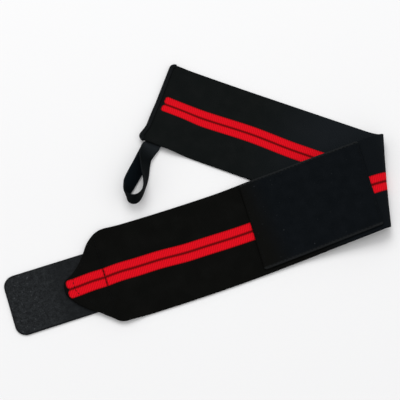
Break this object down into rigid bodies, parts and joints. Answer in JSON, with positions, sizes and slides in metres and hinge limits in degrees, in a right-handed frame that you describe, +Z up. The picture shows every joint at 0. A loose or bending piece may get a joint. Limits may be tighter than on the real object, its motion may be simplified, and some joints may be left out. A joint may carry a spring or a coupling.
{
  "type": "wrist wrap",
  "caption": "Elastic wrist wrap with a thumb loop, a soft loop patch and a hook tab, lying folded in a V.",
  "frame": {"origin": "under the middle of the whole wrap, on the surface that it lies on", "axes": "+X from the nose and the hook tab towards the fold, +Y from the upper run towards the lower run, +Z up off the surface"},
  "size_m": [0.3054, 0.254, 0.0155],
  "materials": {
    "elastic": "woven elastic, black with two red stripes",
    "loop_pile": "soft loop pile",
    "hook_tape": "hook tape, matt dark grey",
    "ribbon": "narrow elastic with a slight sheen",
    "thread": "overlocked black thread"
  },
  "bodies": {
    "root": {"elastic_band": "elastic", "loop_patch": "loop_pile", "hook_tab": "hook_tape", "thumb_loop": "ribbon", "overlock_edge": "thread"}
  },
  "joints": []
}
